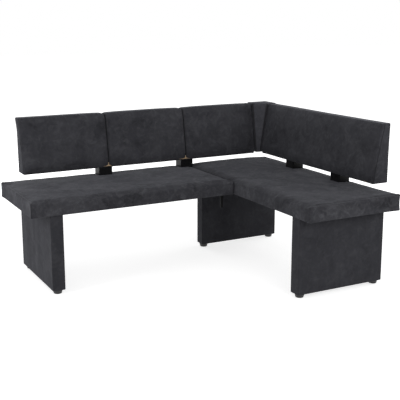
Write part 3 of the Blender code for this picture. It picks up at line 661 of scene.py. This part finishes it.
def dust_finish(name):
    """Black polypropylene felt: matt, with the small embossed points that bond it."""
    material, tree = new_material(name)
    place = add_node(tree, "TexCoord").outputs["Object"]
    points = add_node(tree, "TexVoronoi", {"Vector": place, "Scale": 420.0})
    pressed = add_ramp(tree, points.outputs["Distance"], 0.15, 0.45)
    felt = add_ramp(tree, add_noise(tree, place, 35.0, 4.0, 0.6), 0.3, 0.7)
    colour = add_mix(tree, pressed, DUST_PRESSED, add_mix(tree, felt, *DUST_COLOURS))
    roughness = add_ramp(tree, pressed, 0.0, 1.0, 0.6, 0.95)
    add_surface(tree, colour, roughness, pressed, (0.5, 0.0003), **{"Specular IOR Level": 0.3})
    return material


dust_felt = dust_finish("black_dust_cloth")
for seat in ("long_seat", "wing_seat"):
    low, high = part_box(seat + "_dust_cloth")
    points, faces = dust_cloth_surface(low, high)
    piece = add_mesh(seat + "_dust_felt", points, faces, dust_felt)
    settle(piece, "dust_cloth", seat + "_dust_cloth")


# Backs
# Foam on an upright plywood board, thick below and thin above, in a sewn cover with a flat panel let into
# each end. The long back's cover is joined from three lengths, and each upright join is pulled in.
BACK_BOTTOM, BACK_TOP = 0.5332, 0.8340
BACK_THICK_BOTTOM, BACK_THICK_TOP = 0.114, 0.063
LONG_SEAMS = (0.484, 0.965)  # from the long back's free end
BACK_CROWN = 0.004
BACK_DIP = 0.003
BACK_FRONT = 0.030         # how much of the thickness follows the sloping front
BACK_ROLL = 0.014          # along the top
BACK_LOW_ROLL = 0.014      # along the bottom
BACK_LEAN = (0.009, 0.060)  # how far the front's foot is drawn back under, and up to what height
BACK_INNER_ROLL = 0.008    # at the wedge
BACK_REAR_ROLL = 0.005
BACK_CORNER = 0.006
BACK_TUCK = (0.010, 0.030)
BACK_SWELL = 0.005
BACK_EAR = 0.050           # how far from its upper corner the free end begins to stand out
BACK_STEP = 0.007
BACK_WAVE = 0.0006         # depth of the shallow waves in the front
BACK_POST_DENT = (0.0040, 0.005)  # depth and reach of the dip in the underside round a post's top
WEDGE_HOLD = 0.020         # how near to the wedge the cover is held back
SEAM = (0.0030, 0.0050)    # half width and depth of an upright join's groove
SEAM_VALLEY = (0.011, 0.0030)  # the same of the soft valley it lies in
# Painted shade in an upright join's groove and in the valley it lies in, as weights of the seam attribute.
JOIN_PAINTED_SHADE, VALLEY_PAINTED_SHADE = 0.75, 0.2
PUCKER = 0.0006
END_SEAM_DEPTH = 0.0022
END_SEAM_LOW, END_SEAM_HIGH = 0.010, 0.024  # the end panel's seam behind the front, at the bottom and the top


def puckers(x, rise, seam):
    """Small folds that run out from both sides of an upright seam, as waves along it that soon fade."""
    away = np.abs(x - seam)
    waves = np.sin(rise * 330 + 3 * np.sin(rise * 41 + seam * 9)) + 0.6 * np.sin(rise * 212 + seam * 31)
    return PUCKER * waves * bell(away - 0.007, 0.010)


def back_surface(start, end, seams, posts, free_end, end_roll, seam_width, ear_out, ear_up, ear_reach):
    """One back from x = start to end, its rear on y = 0, with a sewn seam at each x of seams.

    The block's face is turned to the front. Its front part is moved back with height, by the difference
    between the bottom's thickness and the thickness there, and what lies behind is squeezed to fit. The
    face's foot is drawn back under by a square of the height that is left. Between two seams the face is
    crowned towards them and the top, and a seam is a narrow bell-shaped groove in a wider one, shallower
    before the rail, with small folds beside it. The free end, 0 or 1 for the low or the high one, rolls over
    by end_roll to its panel, whose seam has half the width seam_width. It has no dip, its upper corner
    stands out by ear_out, and the top edge rises towards it by ear_up, in a bell along ear_reach. The posts'
    tops press into the underside.
    Returns points, faces and the seam attribute, the painted shade in the joins, in their valleys and along
    the end panel's seam.
    """
    height = BACK_TOP - BACK_BOTTOM
    across = rows_between(start, end, BACK_STEP, *finer_at((start, end), (0.0030, 0.016), (0.0010, 0.006)),
                          *finer_at(seams, (0.0032, 0.030), (0.0008, 0.006)))
    along = rows_between(0.0, height, BACK_STEP, *finer_at((0.0, height), (0.0030, 0.018), (0.0010, 0.006)))
    shares = np.concatenate((np.linspace(0, 0.24, 20)[1:], np.linspace(0.24, 1, 7)[1:]))
    end_rolls = (BACK_INNER_ROLL, end_roll) if free_end else (end_roll, BACK_INNER_ROLL)
    rolls = (*end_rolls, BACK_LOW_ROLL, BACK_ROLL)
    points, faces, part = padded_block(across, along, BACK_THICK_BOTTOM, BACK_CORNER, rolls, BACK_REAR_ROLL,
                                       BACK_TUCK, shares)
    x, rise, deep = points.T
    edges = np.array((start, *seams, end))
    section = np.clip(np.searchsorted(edges, x, side="right") - 1, 0, len(edges) - 2)
    u = np.clip(2 * (x - edges[section]) / (edges[section + 1] - edges[section]) - 1, -1, 1)
    v = np.clip(2 * rise / height - 1, -1, 1)
    front = np.clip(1 + deep / BACK_FRONT, 0, 1)

    end_seam_at = END_SEAM_LOW + (END_SEAM_HIGH - END_SEAM_LOW) * rise / height
    at_end = bell(np.minimum(x - start, end - x), 0.004)
    end_seam = bell(deep + end_seam_at, seam_width) * at_end * (part == 1)
    join, valley, folds = np.zeros((3, len(x)))
    for seam in seams:
        join += bell(x - seam, SEAM[0])
        valley += bell(x - seam, SEAM_VALLEY[0])
        folds += puckers(x, rise, seam)

    from_end = np.where(free_end, end - x, x - start)
    fall = (BACK_THICK_BOTTOM - BACK_THICK_TOP) * rise / height
    crown = BACK_CROWN * (1 - (1 - u ** 4) * (1 - np.clip(v, 0, 1) ** 4))
    squeeze = (BACK_THICK_BOTTOM - BACK_FRONT - fall - crown) / (BACK_THICK_BOTTOM - BACK_FRONT)
    moved = np.where(deep > -BACK_FRONT, deep - fall - crown,
                     (deep + BACK_THICK_BOTTOM) * squeeze - BACK_THICK_BOTTOM)
    waves = BACK_WAVE * np.sin(x * 29 + 2 * np.sin(rise * 19)) * np.sin(rise * 33 + 1.5 * np.sin(x * 11))
    moved -= BACK_LEAN[0] * np.clip(1 - rise / BACK_LEAN[1], 0, 1) ** 2 * front
    y = -BACK_THICK_BOTTOM - moved
    near_top = np.clip((v - 0.8) / 0.2, 0, 1)
    dip = BACK_DIP * u ** 4 * np.clip(from_end / 0.1 - 1, 0, 1) * near_top
    ear = bell(height - rise, BACK_EAR) * bell(from_end, BACK_EAR)
    lift = ear_up * bell(from_end, ear_reach) * near_top
    for post in posts:
        lift += BACK_POST_DENT[0] * bell(outside(post, x, y), BACK_POST_DENT[1]) * (rise < 0.006)
    outward = 1 if free_end else -1
    shape = np.stack((x + outward * ear_out * ear, y + waves * front, BACK_BOTTOM + rise - dip + lift), -1)
    free = np.stack((0.2 * front, front, 0.2 * near_top), -1)
    free *= np.clip(np.where(free_end, x - start, end - x) / WEDGE_HOLD, 0, 1)[:, None]
    shape = swollen(shape, faces, np.array((0.0, -BACK_SWELL, BACK_SWELL)), free)
    pulled = (SEAM[1] * join + SEAM_VALLEY[1] * valley) * np.clip(rise / 0.030, 0.35, 1) + folds
    end_in = -END_SEAM_DEPTH * end_seam * np.sign(x - (start + end) / 2)
    shape += np.stack((end_in, pulled * front, -pulled * near_top), -1)
    # Painted shade: the joins, their valleys and the end panel's seam darken the cloth through the seam
    # attribute.
    dark = (JOIN_PAINTED_SHADE * join + VALLEY_PAINTED_SHADE * valley) * front * (part < 2)
    return shape, faces, np.maximum(dark, end_seam)


low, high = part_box("long_back_cover")
start, end = low.x - X_LEFT, high.x - X_LEFT
seams = [start + place for place in LONG_SEAMS]
points, faces, seam = back_surface(start, end, seams, long_posts(), free_end=0, end_roll=0.008,
                                   seam_width=0.0030, ear_out=0.0070, ear_up=0.0005, ear_reach=0.10)
finish_pad("long_back_padding", along_wall(points), faces, seam, ("long_back_cover", "long_back_foam"))
low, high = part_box("wing_back_cover")
points, faces, seam = back_surface(Y_BACK - high.y, Y_BACK - low.y, (), wing_posts(), free_end=1,
                                   end_roll=0.013, seam_width=0.0018, ear_out=0.0025, ear_up=0.0050,
                                   ear_reach=0.35)
finish_pad("wing_back_padding", along_wing(points), faces, seam, ("wing_back_cover", "wing_back_foam"))


# Corner wedge
# A small foam wedge on an angle of boards between the two backs, in its own sewn cover with a domed top. Its
# narrow front face closes the corner, and it hangs a little higher than the backs.
WEDGE_ROUND = 0.007
WEDGE_REAR_ROUND = 0.005
WEDGE_LIFT = 0.007
WEDGE_DOME = 0.005
WEDGE_GAP = 0.0025         # kept from the backs' ends
WEDGE_EDGE_SHADE = 0.7     # painted shade of the gaps along the front face's two sides


def fan(ring, ahead, tip):
    """Triangles from a closed ring of point numbers, and the next ones along it, to one point."""
    tips = np.full(len(ring), tip)
    return np.stack((ring, ahead, tips, tips), -1)


def rounded_ring(corners, radii, inset, arc, run):
    """A closed ring round a polygon: each corner an arc of its own radius, less the inset, and straight runs.

    An arc's centre lies on its corner's bisector, at the radius over the sine of half the corner's angle.
    """
    before, after = np.roll(corners, 1, 0) - corners, np.roll(corners, -1, 0) - corners
    before /= np.linalg.norm(before, axis=1)[:, None]
    after /= np.linalg.norm(after, axis=1)[:, None]
    half_angle = np.arccos(np.clip((before * after).sum(1), -1, 1)) / 2
    bisector = before + after
    bisector /= np.linalg.norm(bisector, axis=1)[:, None]
    centre = corners + bisector * (radii / np.sin(half_angle))[:, None]
    square_on = []
    for side in (before, after):
        normal = np.stack((side[:, 1], -side[:, 0]), -1)
        normal *= -np.sign((normal * bisector).sum(1))[:, None]
        square_on.append(np.arctan2(normal[:, 1], normal[:, 0]))
    sweep = (square_on[1] - square_on[0] + np.pi) % (2 * np.pi) - np.pi
    angle = square_on[0][:, None] + sweep[:, None] * arc
    arcs = centre[:, None] + (radii - inset)[:, None, None] * np.stack((np.cos(angle), np.sin(angle)), -1)
    ends, starts = arcs[:, -1], np.roll(arcs[:, 0], -1, 0)
    runs = ends[:, None] + (starts - ends)[:, None] * run[None, :, None]
    return np.concatenate((arcs[:, :-1], runs), 1).reshape(-1, 2)


def wedge_surface():
    """The wedge as a five-sided tower about the corner at x = y = 0, its levels rounded rings.

    The two front corners move back with height as the backs' fronts do. The levels are drawn in by a quarter
    turn at the underside and the top, and rings that shrink to a point close both, the top one as a dome.
    Returns points, faces and the seam attribute, the painted shade along the front face's two sides.
    """
    low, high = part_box("corner_cover")
    left, front = low.x - X_RIGHT + WEDGE_GAP, low.y - Y_BACK + WEDGE_GAP
    bottom, top = BACK_BOTTOM + WEDGE_LIFT, BACK_TOP
    slope = (BACK_THICK_BOTTOM - BACK_THICK_TOP) / (BACK_TOP - BACK_BOTTOM)
    arc, run = np.linspace(0.0, 1.0, 7), np.linspace(0.0, 1.0, 11)[:-1]
    radii = np.array((WEDGE_REAR_ROUND, WEDGE_ROUND, WEDGE_ROUND, WEDGE_REAR_ROUND, WEDGE_REAR_ROUND))

    def level(z, inset):
        thick = BACK_THICK_BOTTOM - slope * (z - BACK_BOTTOM)
        corners = np.array([(left, 0.0), (left, -thick), (-thick, front), (0.0, front), (0.0, 0.0)])
        room = np.linalg.norm(corners[2] - corners[1])
        ring = rounded_ring(corners, np.minimum(radii, room * 0.4), np.minimum(inset, radii * 0.9), arc, run)
        return np.column_stack((ring, np.full(len(ring), z)))

    turn = np.linspace(0.0, np.pi / 2, 7)
    rings = [level(bottom + WEDGE_ROUND * (1 - np.sin(a)), WEDGE_ROUND * (1 - np.cos(a))) for a in turn[::-1]]
    rings += [level(z, 0.0) for z in np.linspace(bottom + WEDGE_ROUND, top - WEDGE_ROUND, 34)[1:-1]]
    rings += [level(top - WEDGE_ROUND * (1 - np.sin(a)), WEDGE_ROUND * (1 - np.cos(a))) for a in turn]
    rings = np.array(rings)
    shares = np.linspace(1.0, 0.0, 11)[1:-1, None, None]

    def lid(edge, height):
        """Rings from an edge ring inwards, raised as one minus the square of their share, and their tip."""
        tip = edge.mean(0)
        shrunk = tip + (edge - tip) * shares
        shrunk[:, :, 2] += height * (1 - shares[:, :, 0] ** 2)
        return shrunk, tip + (0.0, 0.0, height)

    top_rings, top_tip = lid(rings[-1], WEDGE_DOME)
    under_rings, under_tip = lid(rings[0], 0.0)
    stack = np.concatenate((under_rings[::-1], rings, top_rings))
    count = stack.shape[1]
    points = np.concatenate((stack.reshape(-1, 3), under_tip[None], top_tip[None]))
    index = np.arange(stack.shape[0] * count).reshape(-1, count)
    ahead = np.roll(index, -1, axis=1)
    bands = np.stack((index[:-1], ahead[:-1], ahead[1:], index[1:]), -1).reshape(-1, 4)
    faces = np.concatenate((bands, fan(ahead[0], index[0], len(points) - 2),
                            fan(index[-1], ahead[-1], len(points) - 1)))
    # Painted shade along the front face's two sides, where they meet the backs across the gaps.
    per_corner = len(arc) - 1 + len(run)
    painted_edge_shade = np.zeros(count)
    for first in (per_corner, 2 * per_corner):
        painted_edge_shade[first:first + len(arc)] = WEDGE_EDGE_SHADE
    seam = np.concatenate((np.tile(painted_edge_shade, len(stack)), (0.0, 0.0)))
    return points + (X_RIGHT, Y_BACK, 0.0), faces, seam


points, faces, seam = wedge_surface()
finish_pad("corner_padding", points, faces, seam, ("corner_cover", "corner_foam"),
           make_microfibre("anthracite_microfibre_against_the_nap", 0.10, stroked=0.8, lift=1.6))


# Legs
# Chipboard panels wrapped in microfibre over thin wadding, with upright edges just softened by it, and the
# cloth turned under at the floor end. The wadding is a little fuller on one side of two of them, and a little
# thinner on one of the third.
LEG_CORNER = 0.005
LEG_ROLL = 0.002           # at the top, pressed against the seat
LEG_UNDER_ROLL = 0.004
LEG_TUCK = (0.002, 0.02)
LEG_STEP = 0.010
LEG_EDGE_ROWS = (0.0014, 0.012)
LEG_WAVE = 0.0005


def leg_surface(low, high):
    """A panel's wrap as a block stood upright: its outline seen from above, carried down the panel's height.

    The cloth lies in very shallow upright waves, as it was drawn down and stapled underneath.
    """
    across, along = (rows_between(first, last, LEG_STEP, *finer_at((first, last), LEG_EDGE_ROWS))
                     for first, last in ((low.x, high.x), (low.y, high.y)))
    points, faces, part = padded_block(across, along, high.z - low.z, LEG_CORNER, (LEG_ROLL,) * 4,
                                       LEG_UNDER_ROLL, LEG_TUCK, np.linspace(0, 1, 41)[1:], roll_rows=2)
    x, y, z = points.T
    down = np.clip(-z / (high.z - low.z), 0, 1)
    u, v = (2 * x - low.x - high.x) / (high.x - low.x), (2 * y - low.y - high.y) / (high.y - low.y)
    near_x = (high.x - low.x) * (1 - np.abs(u)) < (high.y - low.y) * (1 - np.abs(v))
    wave = np.sin(x * 61 + 1.4 * np.sin(x * 23 + z * 5)) + np.sin(y * 57 + 1.6 * np.sin(y * 19 + z * 4))
    wave *= LEG_WAVE * (part == 1) * np.clip(down * 8, 0, 1) * np.clip((1 - down) * 8, 0, 1)
    x = x - np.where(near_x, wave * np.sign(u) * (1 - v ** 8), 0)
    y = y - np.where(near_x, 0, wave * np.sign(v) * (1 - u ** 8))
    return np.stack((x, y, z + high.z), -1), faces, np.zeros(len(points))


leg_cloth = make_microfibre("anthracite_microfibre_upright", 0.16, stroked=0.6, lift=0.94)
for leg, fuller_left, fuller_rear in (("left_leg", 0.0, 0.003), ("middle_leg", -0.0015, 0.0),
                                      ("front_leg", 0.0045, 0.0)):
    low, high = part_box(leg + "_cover")
    low.x -= fuller_left
    high.y += fuller_rear
    points, faces, seam = leg_surface(low, high)
    finish_pad(leg + "_wrap", points, faces, seam, (leg + "_cover",), leg_cloth)


# Glides
# Turned black plastic feet, two under each leg: a short straight rim below the panel, then a taper to a
# smaller sole with a softened edge. A stem pressed into the panel holds each one.
GLIDE_TURNS = 48
PLAIN_BUMP = (0.4, 0.0002)  # strength and distance


def make_plain(name, colour, roughness, metallic=0.0, mottle=0.2, scale=60.0, grain=None, gloss=0.5):
    """A rigid finish: its colour and roughness varied by noise, and a fine bump of its own grain."""
    material, tree = new_material(name)
    place = add_node(tree, "TexCoord").outputs["Object"]
    spread = add_noise(tree, place, scale, 4.0, 0.6, grain)
    darker = tuple(c * (1 - mottle) for c in colour)
    lighter = tuple(min(1.0, c * (1 + mottle)) for c in colour)
    shade = add_mix(tree, add_ramp(tree, spread, 0.3, 0.7), darker, lighter)
    duller = add_ramp(tree, spread, 0.3, 0.7, roughness * 0.85, min(1.0, roughness * 1.15))
    add_surface(tree, shade, duller, add_noise(tree, place, scale * 8, 2.0, 0.6, grain), PLAIN_BUMP,
                **{"Metallic": metallic, "Specular IOR Level": gloss})
    return material


black_plastic = make_plain("black_moulded_plastic", (0.008, 0.008, 0.009), 0.45)


def glide_surface(low, high):
    """A glide turned about its middle: a profile of radius and height, carried round it."""
    middle_x, middle_y = (low.x + high.x) / 2, (low.y + high.y) / 2
    rim = (high.x - low.x) / 2
    profile = np.array([(rim - 0.0006, 0.0197), (rim, 0.0191), (rim, 0.0150), (rim - 0.0008, 0.0142),
                        (0.0212, 0.0036), (0.0206, 0.0018), (0.0194, 0.0005), (0.0178, 0.0)])
    angle = np.linspace(0.0, 2 * np.pi, GLIDE_TURNS, endpoint=False)
    points = np.stack((middle_x + profile[:, :1] * np.cos(angle), middle_y + profile[:, :1] * np.sin(angle),
                       np.repeat(profile[:, 1:], GLIDE_TURNS, 1)), -1).reshape(-1, 3)
    points = np.concatenate((points, [(middle_x, middle_y, profile[0, 1]), (middle_x, middle_y, 0.0)]))
    index = np.arange(len(profile) * GLIDE_TURNS).reshape(-1, GLIDE_TURNS)
    ahead = np.roll(index, -1, axis=1)
    return points, np.concatenate((bands_between(index), fan(index[0], ahead[0], len(points) - 2),
                                   fan(ahead[-1], index[-1], len(points) - 1)))


for foot in ("left_leg_glide_rear", "left_leg_glide_front", "middle_leg_glide_left",
             "middle_leg_glide_right", "front_leg_glide_left", "front_leg_glide_right"):
    points, faces = glide_surface(*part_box(foot))
    settle(add_mesh(foot + "_turned", points, faces, black_plastic), "black_plastic", foot)


# Posts, straps, boards and fasteners
# Square steel posts and the straps under the joint are powder coated black; the boards, cores and dowels
# inside are bare wood, and the bolts and screws are zinc plated. All of them are the part's own solids.
black_steel = make_plain("black_powder_coat", (0.0040, 0.0040, 0.0046), 0.42, scale=300.0, gloss=0.13)
zinc = make_plain("zinc_plating", (0.62, 0.63, 0.66), 0.35, metallic=1.0, scale=90.0)
plywood = make_plain("birch_plywood", (0.52, 0.37, 0.22), 0.6, scale=18.0, grain=(0.2, 1.0, 6.0))
chipboard = make_plain("chipboard", (0.42, 0.31, 0.19), 0.8, mottle=0.35, scale=220.0)
beech = make_plain("beech", (0.60, 0.40, 0.24), 0.6, scale=60.0, grain=(0.2, 1.0, 1.0))

# The first of these words that a solid's name holds gives its finish; what is left over is microfibre.
FINISHES = {"_bolt": zinc, "_screw": zinc, "post_": black_steel, "strap": black_steel, "_core": chipboard,
            "dowel": beech, "dust_cloth": dust_felt, "_board": plywood, "_rail": plywood, "_block": plywood,
            "_glide_": black_plastic}

for name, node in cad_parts.items():
    finish = next((finish for word, finish in FINISHES.items() if word in name), microfibre)
    node.data.materials.clear()
    node.data.materials.append(finish)


low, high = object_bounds()
